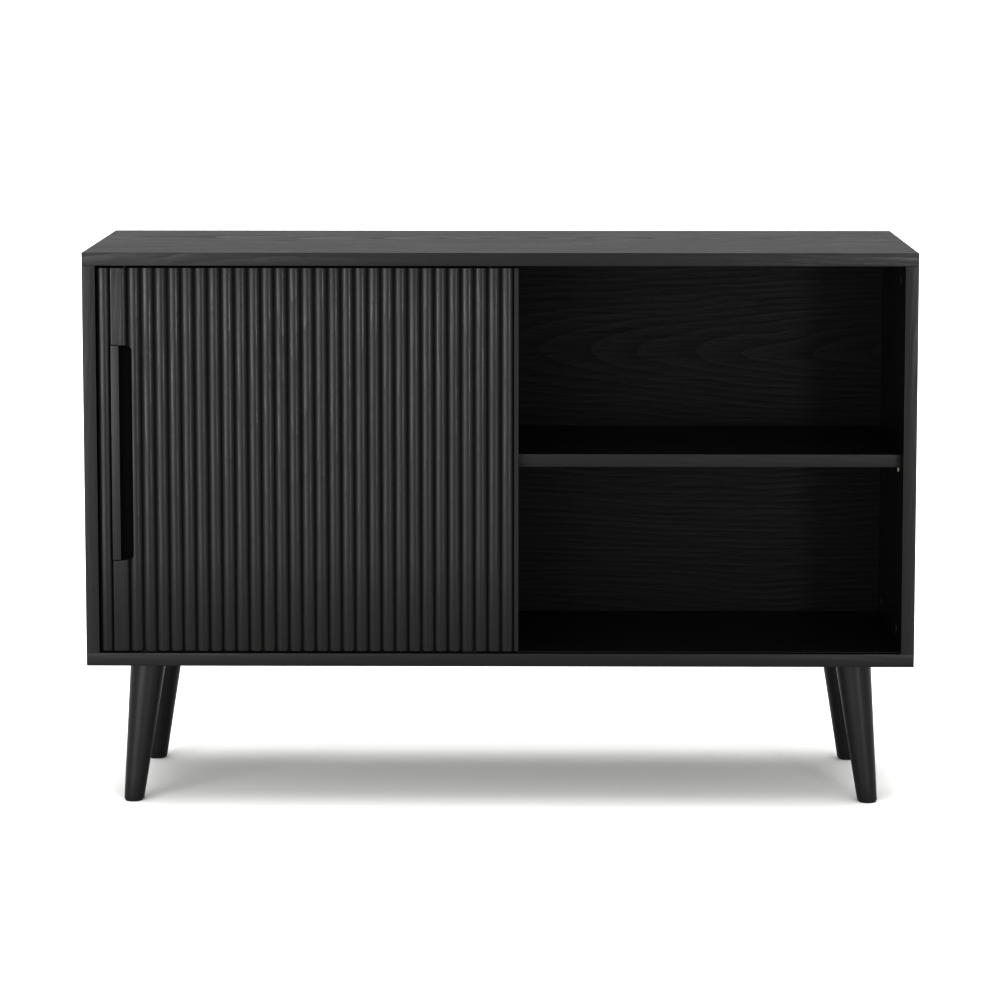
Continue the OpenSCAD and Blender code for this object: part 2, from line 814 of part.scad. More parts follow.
module wall_bracket_screw() color(zinc) {
  translate([0, rear_y - bracket_leg / 2, ceiling_z - bracket_t]) wood_screw(2, 3.8, 16);
}

top_panel();
top_panel_edging();
bottom_panel();
bottom_panel_edging();
left_side_panel();
left_side_edging();
right_side_panel();
right_side_edging();
centre_divider();
divider_edging();
back_panel();
left_shelf();
left_shelf_edging();
right_shelf();
right_shelf_edging();
left_shelf_supports();
right_shelf_supports();
door_panel();
handle_bar();
handle_bar_screws();
bottom_track();
top_track();
track_stops();
left_roller_housing();
right_roller_housing();
left_roller_wheel();
right_roller_wheel();
left_roller_axle();
right_roller_axle();
roller_housing_screws();
left_guide_sleeve();
right_guide_sleeve();
left_guide_plunger();
right_guide_plunger();
left_guide_spring();
right_guide_spring();
front_left_leg();
front_right_leg();
rear_left_leg();
rear_right_leg();
front_left_leg_plate();
front_right_leg_plate();
rear_left_leg_plate();
rear_right_leg_plate();
leg_hanger_bolts();
leg_plate_screws();
leg_glides();
cam_locks();
cam_bolts();
cam_caps();
case_dowels();
back_panel_screws();
wall_bracket();
wall_bracket_screw();
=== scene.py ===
import json

import bpy
import numpy as np
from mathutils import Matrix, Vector


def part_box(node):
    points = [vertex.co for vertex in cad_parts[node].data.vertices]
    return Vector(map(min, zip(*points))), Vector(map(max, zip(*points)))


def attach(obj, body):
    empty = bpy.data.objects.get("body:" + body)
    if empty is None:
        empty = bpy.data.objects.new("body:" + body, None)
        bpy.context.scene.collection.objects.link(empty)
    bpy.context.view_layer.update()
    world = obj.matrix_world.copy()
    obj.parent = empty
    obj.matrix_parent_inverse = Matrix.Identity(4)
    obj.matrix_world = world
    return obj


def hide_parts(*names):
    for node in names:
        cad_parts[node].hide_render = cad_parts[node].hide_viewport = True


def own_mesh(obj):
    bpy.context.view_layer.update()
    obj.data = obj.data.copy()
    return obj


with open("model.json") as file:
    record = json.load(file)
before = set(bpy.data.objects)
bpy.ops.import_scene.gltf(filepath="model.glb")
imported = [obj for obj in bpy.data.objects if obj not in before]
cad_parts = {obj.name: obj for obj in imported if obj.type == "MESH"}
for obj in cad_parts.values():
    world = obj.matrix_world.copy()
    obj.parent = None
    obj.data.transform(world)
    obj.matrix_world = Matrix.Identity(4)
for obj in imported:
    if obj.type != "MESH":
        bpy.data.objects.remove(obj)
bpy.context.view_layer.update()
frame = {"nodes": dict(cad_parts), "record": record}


# ---------------------------------------------------------------------------
# Case boards. Each is particle board with a black oak-grain melamine foil pressed on both faces,
# the foil's grain running along the board. They are the solids of the frame itself, and only get
# their foil here: the grooves, dowel holes and cam bores in them are already cut.
# ---------------------------------------------------------------------------
def linear(colour):
    """An sRGB hex colour as linear RGBA: c / 12.92 up to 0.04045, and above it
    ((c + 0.055) / 1.055) to the power 2.4."""
    srgb = np.array([int(colour[i : i + 2], 16) for i in (1, 3, 5)]) / 255
    light = np.where(srgb <= 0.04045, srgb / 12.92, ((srgb + 0.055) / 1.055) ** 2.4)
    return (*(float(c) for c in light), 1.0)


def add(material, kind, settings=None, links=None):
    """Adds one node. Settings go to its sockets' own values or its options, links to its
    sockets."""
    made = material.node_tree.nodes.new(kind)
    for name, value in (settings or {}).items():
        if isinstance(name, int) or name in made.inputs:
            made.inputs[name].default_value = value
        else:
            setattr(made, name, value)
    for name, output in (links or {}).items():
        material.node_tree.links.new(output, made.inputs[name])
    return made


def new_material(name):
    """An empty node material."""
    material = bpy.data.materials.new(name)
    material.use_nodes = True
    material.node_tree.nodes.clear()
    return material


def finish_material(material, settings, links):
    """Closes a material with its Principled shader and output."""
    shader = add(material, "ShaderNodeBsdfPrincipled", settings, links)
    add(material, "ShaderNodeOutputMaterial", links={"Surface": shader.outputs["BSDF"]})
    return material


def refinish(node, material):
    """Gives a solid of the frame its finish."""
    slots = frame["nodes"][node].data.materials
    slots.clear()
    slots.append(material)


# repeats per metre along the grain, across it and into the board
waver_scale = (1.3, 4.0, 4.0)  # growth lines waver over about 800 mm of length
streak_scale = (4.5, 285.0, 285.0)  # streaks 220 mm long and 3.5 mm wide
pore_scale = (38.0, 710.0, 710.0)  # pores 26 mm long and 1.4 mm wide
ring_scale = 35.0  # the ring texture's own unit: a growth line every 9 mm


# Melamine foil printed and embossed as oak: long pores 0.3 mm wide, drawn 1.4 mm wide so that they
# show, between wavy growth lines about 9 mm apart. Pores are deeper, darker and duller than the
# rest, which is what makes the grain show on so dark a sheet.
def oak_foil(name, turn, centre, dark="#050505", light="#121211", roughness=0.33, ior=1.38):
    """turn is the rotation that lays the grain along X and the face in the XY plane, and centre is
    a point on the face."""
    foil = new_material(name)
    place = add(foil, "ShaderNodeTexCoord")
    laid = add(
        foil,
        "ShaderNodeMapping",
        {"vector_type": "TEXTURE", "Rotation": turn, "Location": centre},
        {"Vector": place.outputs["Object"]},
    )
    # slow waver of the growth lines, up to 25 mm to either side
    stretched = add(
        foil, "ShaderNodeMapping", {"Scale": waver_scale}, {"Vector": laid.outputs["Vector"]}
    )
    waver = add(
        foil,
        "ShaderNodeTexNoise",
        {"Scale": 1.0, "Detail": 3.0, "Roughness": 0.5},
        {"Vector": stretched.outputs["Vector"]},
    )
    centred = add(
        foil,
        "ShaderNodeVectorMath",
        {"operation": "SUBTRACT", 1: (0.5, 0.5, 0.5)},
        {0: waver.outputs["Color"]},
    )
    pushed = add(
        foil,
        "ShaderNodeVectorMath",
        {"operation": "MULTIPLY_ADD", 1: (0.0, 0.10, 0.06)},
        {0: centred.outputs["Vector"], 2: laid.outputs["Vector"]},
    )
    # growth rings round an axis 50 mm off the face and about 6 degrees out of its plane, so the
    # face cuts them in long arches
    log = add(
        foil,
        "ShaderNodeMapping",
        {"Location": (0.0, 0.0, -0.05), "Rotation": (0.0, -0.10, 0.02)},
        {"Vector": pushed.outputs["Vector"]},
    )
    rings = add(
        foil,
        "ShaderNodeTexWave",
        {
            "wave_type": "RINGS",
            "rings_direction": "X",
            "wave_profile": "SAW",
            "Scale": ring_scale,
            "Distortion": 0.7,
            "Detail": 2.0,
            "Detail Scale": 0.8,
        },
        {"Vector": log.outputs["Vector"]},
    )
    # streaks and pores, the pores thickest where a growth ring begins
    long_laid = add(
        foil, "ShaderNodeMapping", {"Scale": streak_scale}, {"Vector": pushed.outputs["Vector"]}
    )
    streaks = add(
        foil,
        "ShaderNodeTexNoise",
        {"Scale": 1.0, "Detail": 2.0, "Roughness": 0.55},
        {"Vector": long_laid.outputs["Vector"]},
    )
    short_laid = add(
        foil, "ShaderNodeMapping", {"Scale": pore_scale}, {"Vector": pushed.outputs["Vector"]}
    )
    specks = add(
        foil,
        "ShaderNodeTexNoise",
        {"Scale": 1.0, "Detail": 2.0, "Roughness": 0.6},
        {"Vector": short_laid.outputs["Vector"]},
    )
    pores = add(
        foil,
        "ShaderNodeMapRange",
        {"From Min": 0.56, "From Max": 0.70},
        {"Value": specks.outputs["Fac"]},
    )
    early = add(
        foil,
        "ShaderNodeMapRange",
        {"From Min": 0.15, "From Max": 0.85, "To Min": 0.25, "To Max": 1.0},
        {"Value": rings.outputs["Fac"]},
    )
    pored = add(
        foil,
        "ShaderNodeMath",
        {"operation": "MULTIPLY"},
        {0: pores.outputs["Result"], 1: early.outputs["Result"]},
    )
    # tone: streaks and growth lines together, pulled down in the pores
    toned = add(
        foil,
        "ShaderNodeMath",
        {"operation": "MULTIPLY_ADD", 1: 0.45},
        {0: rings.outputs["Fac"], 2: streaks.outputs["Fac"]},
    )
    shade = add(
        foil,
        "ShaderNodeMapRange",
        {"From Min": 0.35, "From Max": 1.05},
        {"Value": toned.outputs["Value"]},
    )
    shallow = add(
        foil,
        "ShaderNodeMath",
        {"operation": "MULTIPLY_ADD", 1: -0.8},
        {0: pored.outputs["Value"], 2: shade.outputs["Result"]},
    )
    tint = add(
        foil,
        "ShaderNodeMix",
        {"data_type": "RGBA", "clamp_factor": True, 6: linear(dark), 7: linear(light)},
        {0: shallow.outputs["Value"]},
    )
    dull = add(
        foil,
        "ShaderNodeMapRange",
        {"From Min": 0.0, "From Max": 1.0, "To Min": roughness + 0.10, "To Max": roughness - 0.06},
        {"Value": shallow.outputs["Value"]},
    )
    relief = add(
        foil,
        "ShaderNodeBump",
        {"Strength": 0.5, "Distance": 0.0001},
        {"Height": shallow.outputs["Value"]},
    )
    return finish_material(
        foil,
        {"IOR": ior},
        {
            "Base Color": tint.outputs[2],
            "Roughness": dull.outputs["Result"],
            "Normal": relief.outputs["Normal"],
        },
    )


quarter = np.pi / 2
along_width_flat = (0.0, 0.0, 0.0)
along_width_upright = (quarter, 0.0, 0.0)
upright_facing_side = (0.0, -quarter, 0.0)
upright_facing_front = (quarter, -quarter, 0.0)

# the thin back panel has a duller foil with a stronger print than the boards
back_foil = {"dark": "#020202", "light": "#191918", "roughness": 0.46, "ior": 1.24}

for board, turn, centre, finish in (
    ("top_panel", along_width_flat, (0.25, 0.06, 0.817), {}),
    ("bottom_panel", along_width_flat, (-0.2, -0.03, 0.234), {}),
    ("left_shelf", along_width_flat, (-0.3, 0.02, 0.523), {}),
    ("right_shelf", along_width_flat, (0.3, -0.05, 0.523), {}),
    ("back_panel", along_width_upright, (0.32, 0.122, 0.643), back_foil),
    ("left_side_panel", upright_facing_side, (-0.6, 0.05, 0.5), {}),
    ("right_side_panel", upright_facing_side, (0.6, -0.04, 0.6), {}),
    ("centre_divider", upright_facing_side, (0.0, 0.03, 0.55), {}),
):
    name = f"black oak-grain melamine foil, {board.replace('_', ' ')}"
    refinish(board, oak_foil(name, turn, centre, **finish))


# ---------------------------------------------------------------------------
# Edging of the top and bottom panels: a 1 mm ABS band with the foil's grain, glued round all four
# edges and then trimmed with a cutter that rounds its outer corners.
# ---------------------------------------------------------------------------
band_thickness, band_ease, band_corner = 1.0, 0.6, 1.6
arc_steps = 6


def face_outwards(mesh):
    """Turns the faces round if the volume they enclose, the sum over triangles of
    a . (b x c) / 6, is negative."""
    mesh.calc_loop_triangles()
    place = np.zeros(len(mesh.vertices) * 3)
    mesh.vertices.foreach_get("co", place)
    corner = np.zeros(len(mesh.loop_triangles) * 3, int)
    mesh.loop_triangles.foreach_get("vertices", corner)
    a, b, c = np.moveaxis(place.reshape(-1, 3)[corner.reshape(-1, 3)], 1, 0)
    if np.einsum("ij,ij->", a, np.cross(b, c)) < 0:
        mesh.flip_normals()
    mesh.update()


def surface(name, points, ring=False):
    """A closed mesh from a grid of points in millimetres. Rows go along the piece and columns
    round it, and the columns close on themselves. Each end is closed by a face, or with ring the
    last row joins the first."""
    rows, columns = points.shape[:2]
    index = np.arange(rows * columns).reshape(rows, columns)
    beside = np.roll(index, -1, axis=1)
    if ring:
        after, beside_after = np.roll(index, -1, axis=0), np.roll(beside, -1, axis=0)
        faces = np.stack([index, beside, beside_after, after], -1).reshape(-1, 4).tolist()
    else:
        quads = np.stack([index[:-1], beside[:-1], beside[1:], index[1:]], -1)
        faces = [*quads.reshape(-1, 4).tolist(), index[0, ::-1].tolist(), index[-1].tolist()]
    mesh = bpy.data.meshes.new(name)
    mesh.from_pydata((points.reshape(-1, 3) / 1000).tolist(), [], faces)
    face_outwards(mesh)
    piece = bpy.data.objects.new(name, mesh)
    bpy.context.scene.collection.objects.link(piece)
    return piece


def dress(piece, body, material, stands_for, sharp=35):
    """Gives a finished piece its material, smooth shading up to an edge angle and its body, and
    hides the node that it stands for."""
    piece.data.materials.append(material)
    piece.data.shade_smooth()
    piece.data.set_sharp_from_angle(angle=np.radians(sharp))
    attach(piece, body)
    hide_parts(stands_for)
    return piece


def corners(node):
    """The lowest and highest corners of a frame node, in millimetres."""
    low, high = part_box(node)
    return np.array(low) * 1000, np.array(high) * 1000


def arc(start, stop, count):
    """Unit vectors at evenly spaced angles, in degrees."""
    angle = np.radians(np.linspace(start, stop, count))
    return np.stack([np.cos(angle), np.sin(angle)], -1)


def circle(sides):
    """Unit vectors all round, without the last one on top of the first."""
    return arc(0, 360 - 360 / sides, sides)


def rounded_rectangle(low, high, radius):
    """Points round a rectangle whose corners are arcs, and the outward direction at each: corner
    centre + radius x direction."""
    quarters = [arc(start, start + 90, arc_steps) for start in (0, 90, 180, 270)]
    direction = np.concatenate(quarters)
    sign = np.repeat([[1, 1], [-1, 1], [-1, -1], [1, -1]], arc_steps, axis=0)
    middle, half = (low + high) / 2, (high - low) / 2
    return middle + sign * (half - radius) + direction * radius, direction


def edging_band(name, node, material):
    """A band carried round the panel: outline + direction x in-or-out + height, the section's
    outer corners rounded."""
    low, high = corners(node)
    outline, direction = rounded_rectangle(low[:2], high[:2], band_corner)
    lower = arc(-90, 0, arc_steps) * band_ease + [-band_ease, low[2] + band_ease]
    upper = arc(0, 90, arc_steps) * band_ease + [-band_ease, high[2] - band_ease]
    inner_low, inner_high = [-band_thickness, low[2]], [-band_thickness, high[2]]
    section = np.concatenate([[inner_low], lower, upper, [inner_high]])
    flat = outline[:, None] + direction[:, None] * section[None, :, :1]
    height = np.broadcast_to(section[None, :, 1:], (len(outline), len(section), 1))
    band = surface(name, np.concatenate([flat, height], -1), ring=True)
    return dress(band, "case", material, node)


# ABS edging with the foil's print: the same grain, run along the band, a little lighter and duller
edging_look = {"dark": "#060606", "light": "#151414", "roughness": 0.36, "ior": 1.39}
front_edging = oak_foil(
    "black oak-grain ABS edging, along the width",
    along_width_upright,
    (0.1, -0.2, 0.69),
    **edging_look,
)
edging_band("top_panel_band", "top_panel_edging", front_edging)
edging_band("bottom_panel_band", "bottom_panel_edging", front_edging)


# ---------------------------------------------------------------------------
# Edging of the sides, the divider and the shelves: the same band on the front edge only, cut off
# flush where it meets the panel above and below or the board beside it.
# ---------------------------------------------------------------------------
def edging_strip(name, node, material, upright):
    """A straight band: its section, a rectangle with the two front corners rounded, stands at both
    ends of its length."""
    low, high = corners(node)
    across, along = (0, 2) if upright else (2, 0)
    left = arc(180, 270, arc_steps) * band_ease + [low[across] + band_ease, low[1] + band_ease]
    right = arc(270, 360, arc_steps) * band_ease + [high[across] - band_ease, low[1] + band_ease]
    section = np.concatenate([[[low[across], high[1]]], left, right, [[high[across], high[1]]]])
    points = np.zeros((2, len(section), 3))
    points[..., [across, 1]] = section
    points[..., along] = np.array([low[along], high[along]])[:, None]
    return dress(surface(name, points), "case", material, node)


upright_edging = oak_foil(
    "black oak-grain ABS edging, upright",
    upright_facing_front,
    (0.45, -0.2, 0.5),
    **edging_look,
)
edging_strip("left_side_band", "left_side_edging", upright_edging, upright=True)
edging_strip("right_side_band", "right_side_edging", upright_edging, upright=True)
edging_strip("divider_band", "divider_edging", upright_edging, upright=True)
edging_strip("left_shelf_band", "left_shelf_edging", front_edging, upright=False)
edging_strip("right_shelf_band", "right_shelf_edging", front_edging, upright=False)


# ---------------------------------------------------------------------------
# Sliding door: one sheet of board with round reeds milled down its face, 19.2 mm apart, then
# wrapped in the same foil. A flat rib is left for the handle, with a finger recess routed beside
# it. Mortises and bores in its edges hold the rollers and the sprung guides.
# ---------------------------------------------------------------------------
door_low, door_high = corners("door_panel")
bar_low, bar_high = corners("handle_bar")
bar_middle, bar_half = (bar_low[2] + bar_high[2]) / 2, (bar_high[2] - bar_low[2]) / 2

pitch, groove, valley = 19.2, 4.5, 0.35  # reeds: spacing, depth, and softening of the creases
rib_width, rib_shoulder, rib_flank = 24.5, 2.5, 7.9
rib_left = door_low[0] + pitch
rib_right = rib_left + rib_width
strip_width, strip_depth = 6.3, 1.0  # flat strip at the door's right edge
strip_left = door_high[0] - strip_width
end_ease = 1.0  # the reeds' ends are eased with a sanding pad
back_chamfer = 0.6

recess_depth, recess_corner, recess_slope = 12.0, 8.0, 4.0
recess_left = bar_high[0] - 4.5  # the recess goes this far in under the bar
recess_right = rib_right + 6.3
slot_depth, slot_end_play = 6.0, 0.8
slot_left, slot_right = bar_low[0] - 0.6, bar_high[0] + 0.02


def radius_through(half_chord, rise):
    """Radius of a circle that falls by rise over half_chord:
    (rise^2 + half_chord^2) / (2 x rise)."""
    return (rise**2 + half_chord**2) / (2 * rise)


def circle_depth(distance, radius):
    """Depth of a circle's edge behind its front point: radius - sqrt(radius^2 - distance^2)."""
    return radius - np.sqrt(np.clip(radius**2 - distance**2, 0, None))


def softened(first, second, width):
    """The larger of two depths with the crease between them rounded:
    (a + b + sqrt((a - b)^2 + width^2)) / 2."""
    return (first + second + np.sqrt((first - second) ** 2 + width**2)) / 2


def reed_depth(x):
    """Depth of the door's milled face behind its crests at x: round reeds, the flat rib and the
    narrow end strip."""
    start = np.where(x < rib_left, door_low[0], rib_right)
    from_crest = np.abs((x - start) % pitch - pitch / 2)
    reed = circle_depth(from_crest, radius_through(pitch / 2, groove))
    into_shoulder = np.clip(rib_left + rib_shoulder - x, 0, rib_shoulder)
    into_flank = np.clip(x - (rib_right - rib_flank), 0, rib_flank)
    rib = np.maximum(
        circle_depth(into_shoulder, rib_shoulder),
        circle_depth(into_flank, radius_through(rib_flank, groove)),
    )
    face = np.where((x >= rib_left) & (x < rib_right), rib, reed)
    face = np.where(x >= strip_left, strip_depth, face)
    return groove - softened(groove - face, 0 * face, valley)


def recess_depth_at(x, z):
    """Depth of the finger recess: the distance in from its rounded outline, times the slope of its
    wall, up to its floor. Outside it the depth is -1, which no face has."""
    beyond_side = x - (recess_right - recess_corner)
    beyond_end = np.abs(z - bar_middle) - (bar_half - recess_corner)
    outside = np.hypot(np.clip(beyond_side, 0, None), np.clip(beyond_end, 0, None))
    inside = np.clip(np.maximum(beyond_side, beyond_end), None, 0)
    inward = recess_corner - outside - inside
    floor = np.clip(inward, 0, recess_slope) * recess_depth / recess_slope
    return np.where(x >= recess_left, floor, -1.0)


def slot_depth_at(x, z):
    """Depth of the slot that takes the handle bar, with a little play above and below the bar."""
    in_slot = (x > slot_left) & (x < slot_right)
    in_slot = in_slot & (z > bar_low[2] - slot_end_play) & (z < bar_high[2] + slot_end_play)
    return np.where(in_slot, slot_depth, -1.0)


# columns: sixteen to a reed, closer over the recess, and doubled at each sharp step of the face,
# a little to either side of it. One reed stands left of the rib and 29 right of it. Rows: closer
# at the door's ends and over the recess's round corners.
step = 0.05
columns_to_reed, reeds_right = 16, 29
columns = np.concatenate(
    [
        np.linspace(door_low[0], rib_left, columns_to_reed + 1),
        np.linspace(rib_left, rib_right, 25),
        np.linspace(rib_right, strip_left, reeds_right * columns_to_reed + 1),
        np.arange(bar_high[0] - 5, recess_right + 1, 0.4),
        [strip_left - step, strip_left + step, door_high[0]],
        [slot_left - step, slot_left + step, recess_left - step, recess_left + step],
        [bar_high[0], slot_right + 0.02],
    ]
)
columns = np.unique(np.round(columns, 3))
play_steps = [-slot_end_play - step, -slot_end_play + step, -step, step]
near_end = np.concatenate([play_steps, np.arange(0.4, 9.0, 0.4)])
eased_rows = np.array([0.0, 0.1, 0.3, 0.6, 1.0])
rows = np.concatenate(
    [
        door_low[2] + eased_rows,
        bar_low[2] + near_end,
        np.linspace(bar_low[2] + 12, bar_high[2] - 12, 5),
        bar_high[2] - near_end[::-1],
        door_high[2] - eased_rows[::-1],
    ]
)
x, z = np.meshgrid(columns, rows)
depth = np.maximum(reed_depth(x), np.maximum(recess_depth_at(x, z), slot_depth_at(x, z)))
to_end = np.minimum(z - door_low[2], door_high[2] - z)
depth = depth + circle_depth(np.clip(end_ease - to_end, 0, end_ease), end_ease)
front = np.stack([x, door_low[1] + depth, z], -1)
back = np.zeros((len(rows), 4, 3))
back[..., 0] = [door_high[0], door_high[0] - back_chamfer, door_low[0] + back_chamfer, door_low[0]]
back[..., 1] = door_high[1] - np.array([back_chamfer, 0.0, 0.0, back_chamfer])
back[..., 2] = rows[:, None]
reeded_door = surface("reeded_door", np.concatenate([front, back], 1))


def round_cutter(name, centre, along, rings):
    """A closed round tool: a circle of each ring's radius, at the ring's distance from the centre
    along one axis. Rings are (distance, radius)."""
    rings = np.array(rings)
    around = circle(48)
    across = [axis for axis in range(3) if axis != along]
    points = np.zeros((len(rings), len(around), 3)) + np.array(centre)
    points[..., across] += around[None] * rings[:, None, 1:]
    points[..., along] += rings[:, :1]
    return surface(name, points)


def box_cutter(name, low, high):
    """A closed square tool between two corners."""
    points = np.zeros((2, 4, 3))
    points[..., 0] = [low[0], high[0], high[0], low[0]]
    points[..., 1] = [low[1], low[1], high[1], high[1]]
    points[..., 2] = np.array([low[2], high[2]])[:, None]
    return surface(name, points)


play, flange_thickness, flange_wing, bore_radius = 0.2, 2.0, 15.0, 4.55
screw_head_radius = 3.5
countersink = [(0.5, 4.3), (-2.3, 1.9), (-14.0, 1.9)]  # let in from the back, then a clearance hole
tools = []
for side in ("left", "right"):
    low, high = corners(f"{side}_roller_housing")
    flange_top = [high[0] + play, high[1] + play, low[2] + flange_thickness + play]
    tools.append(box_cutter(f"{side}_mortise", low - [play, play, 2], flange_top))
    pocket_low = low + [flange_wing - play, -play, -1]
    pocket_high = high + [play - flange_wing, play, play]
    tools.append(box_cutter(f"{side}_pocket", pocket_low, pocket_high))
    low, high = corners(f"{side}_guide_sleeve")
    centre = [(low[0] + high[0]) / 2, (low[1] + high[1]) / 2, low[2]]
    bore = [(-0.1, bore_radius), (high[2] - low[2] + 2, bore_radius)]
    tools.append(round_cutter(f"{side}_bore", centre, 2, bore))
low, high = corners("handle_bar_screws")
for z_middle in (low[2] + screw_head_radius, high[2] - screw_head_radius):
    centre = [(low[0] + high[0]) / 2, door_high[1], z_middle]
    tools.append(round_cutter(f"screw_seat_{len(tools)}", centre, 1, countersink))
for tool in tools:
    cut = reeded_door.modifiers.new(tool.name, "BOOLEAN")
    cut.object, cut.operation, cut.solver = tool, "DIFFERENCE", "EXACT"
cut_door = reeded_door.evaluated_get(bpy.context.evaluated_depsgraph_get())
whole = bpy.data.meshes.new_from_object(cut_door)
reeded_door.modifiers.clear()
reeded_door.data = whole
for tool in tools:
    bpy.data.objects.remove(tool)

# the same foil drawn tight over the reeds, so a little glossier along their crests
door_foil = oak_foil(
    "black oak-grain foil over milled reeds",
    upright_facing_front,
    (-0.3, -0.198, 0.5),
    roughness=0.33,
    ior=1.42,
)
dress(reeded_door, "door", door_foil, "door_panel", sharp=30)

# dead-matt black paint in the recess and the slot: partly sealing paint where the foil can't follow
# the cutter, and partly painted shade that darkens the hollow the bar's overhang shades. It has a
# faint stipple about 1 mm across, so the hollow reads as black beside the foil
recess_shade_paint = new_material("dead-matt black sealing paint and painted recess shade")
place = add(recess_shade_paint, "ShaderNodeTexCoord")
stipple = add(
    recess_shade_paint,
    "ShaderNodeTexNoise",
    {"Scale": 900.0, "Detail": 2.0},
    {"Vector": place.outputs["Object"]},
)
tint = add(
    recess_shade_paint,
    "ShaderNodeMix",
    {"data_type": "RGBA", 6: linear("#040404"), 7: linear("#0b0b0b")},
    {0: stipple.outputs["Fac"]},
)
relief = add(
    recess_shade_paint,
    "ShaderNodeBump",
    {"Strength": 0.2, "Distance": 0.0002},
    {"Height": stipple.outputs["Fac"]},
)
finish_material(
    recess_shade_paint,
    {"Roughness": 0.85, "IOR": 1.2},
    {"Base Color": tint.outputs[2], "Normal": relief.outputs["Normal"]},
)
reeded_door.data.materials.append(recess_shade_paint)
# the faces sunk in the recess and the slot beside the bar take the black paint, which is partly
# painted shade
middle = np.zeros(len(reeded_door.data.polygons) * 3)
reeded_door.data.polygons.foreach_get("center", middle)
middle_x, middle_y, middle_z = middle.reshape(-1, 3).T * 1000
sunk = (middle_y > door_low[1] + slot_depth - 0.4) & (middle_y < door_low[1] + recess_depth + 1)
beside_bar = (middle_x > bar_low[0] - 1) & (middle_x < recess_right)
level_with_bar = np.abs(middle_z - bar_middle) < bar_half + 1
painted = (sunk & beside_bar & level_with_bar).astype(int)
reeded_door.data.polygons.foreach_set("material_index", painted)


# ---------------------------------------------------------------------------
# Handle bar: a slim bar of lacquered beech let into the flat rib and screwed on from behind. It
# stands 0.4 mm proud, its long edges are eased for the fingers, and its right side overhangs the
# recess.
# ---------------------------------------------------------------------------
def eased_block(name, low, high, ease):
    """A block with every edge rounded: the outline is drawn in by ease x (1 - sin t) while the
    lower end rises by ease x (1 - cos t), and the same in mirror at the upper end."""
    turn = np.radians(np.linspace(0, 90, 5))
    inset = np.concatenate([ease * (1 - np.sin(turn)), ease * (1 - np.cos(turn))])
    lower, upper = low[2] + ease * (1 - np.cos(turn)), high[2] - ease * (1 - np.sin(turn))
    outline, direction = rounded_rectangle(low[:2], high[:2], ease)
    flat = outline[None] - direction[None] * inset[:, None, None]
    height = np.concatenate([lower, upper])[:, None, None]
    height = np.broadcast_to(height, (*flat.shape[:2], 1))
    return surface(name, np.concatenate([flat, height], -1))


def sprayed_lacquer(name, dark, light, flecks, gloss, bump, ior, roughness=0.5, mottles=None):
    """Satin lacquer over beech. flecks is how many lie in a metre across and along the wood,
    gloss is two roughnesses between which it shifts, by the flecks or by mottles in a metre."""
    lacquer = new_material(name)
    place = add(lacquer, "ShaderNodeTexCoord")
    across, along = flecks
    stretched = add(
        lacquer,
        "ShaderNodeMapping",
        {"Scale": (across, across, along)},
        {"Vector": place.outputs["Object"]},
    )
    fleck = add(
        lacquer,
        "ShaderNodeTexNoise",
        {"Scale": 1.0, "Detail": 3.0, "Roughness": roughness},
        {"Vector": stretched.outputs["Vector"]},
    )
    mottle = fleck
    if mottles:
        mottle = add(
            lacquer,
            "ShaderNodeTexNoise",
            {"Scale": mottles, "Detail": 3.0},
            {"Vector": place.outputs["Object"]},
        )
    tint = add(
        lacquer,
        "ShaderNodeMix",
        {"data_type": "RGBA", 6: linear(dark), 7: linear(light)},
        {0: fleck.outputs["Fac"]},
    )
    sheen = add(
        lacquer,
        "ShaderNodeMapRange",
        {"To Min": gloss[0], "To Max": gloss[1]},
        {"Value": mottle.outputs["Fac"]},
    )
    strength, distance = bump
    relief = add(
        lacquer,
        "ShaderNodeBump",
        {"Strength": strength, "Distance": distance},
        {"Height": fleck.outputs["Fac"]},
    )
    return finish_material(
        lacquer,
        {"IOR": ior},
        {
            "Base Color": tint.outputs[2],
            "Roughness": sheen.outputs["Result"],
            "Normal": relief.outputs["Normal"],
        },
    )


# lacquer sprayed thin over beech: smooth and evenly black, with only a trace of the wood's flecks,
# which are 2 mm wide and 33 mm long
bar_lacquer = sprayed_lacquer(
    "black satin lacquer on beech, handle bar",
    "#101010",
    "#1e1e1d",
    flecks=(500.0, 30.0),
    gloss=(0.34, 0.42),
    bump=(0.12, 0.0003),
    ior=1.43,
)
bar_ease = 0.9
grip = eased_block("handle_bar_grip", bar_low, bar_high, bar_ease)
dress(grip, "door", bar_lacquer, "handle_bar")


# ---------------------------------------------------------------------------
# Legs: four turned and tapered beech legs, sprayed satin black. Each is cut square to the floor at
# both ends, so that it splays outwards, and its lower rim is rounded over.
# ---------------------------------------------------------------------------
top_radius, foot_radius, leg_length, foot_rim = 26.5, 14.3, 215.0, 2.2
splay_across, splay_deep = 23.1, 14.0  # how far the foot stands out from the top
foot_deep = 134.0
foot_across = {-1: 541.5, 1: 536.4}  # front and rear feet, from the middle of the case

# a thicker coat than on the bar: flecks 2.4 mm wide and 45 mm long hardly show through, and the
# gloss shifts a little in patches about 17 mm across
leg_lacquer = sprayed_lacquer(
    "black satin lacquer on turned beech",
    "#080808",
    "#141413",
    flecks=(420.0, 22.0),
    gloss=(0.30, 0.44),
    bump=(0.15, 0.0004),
    ior=1.46,
    roughness=0.6,
    mottles=60.0,
)


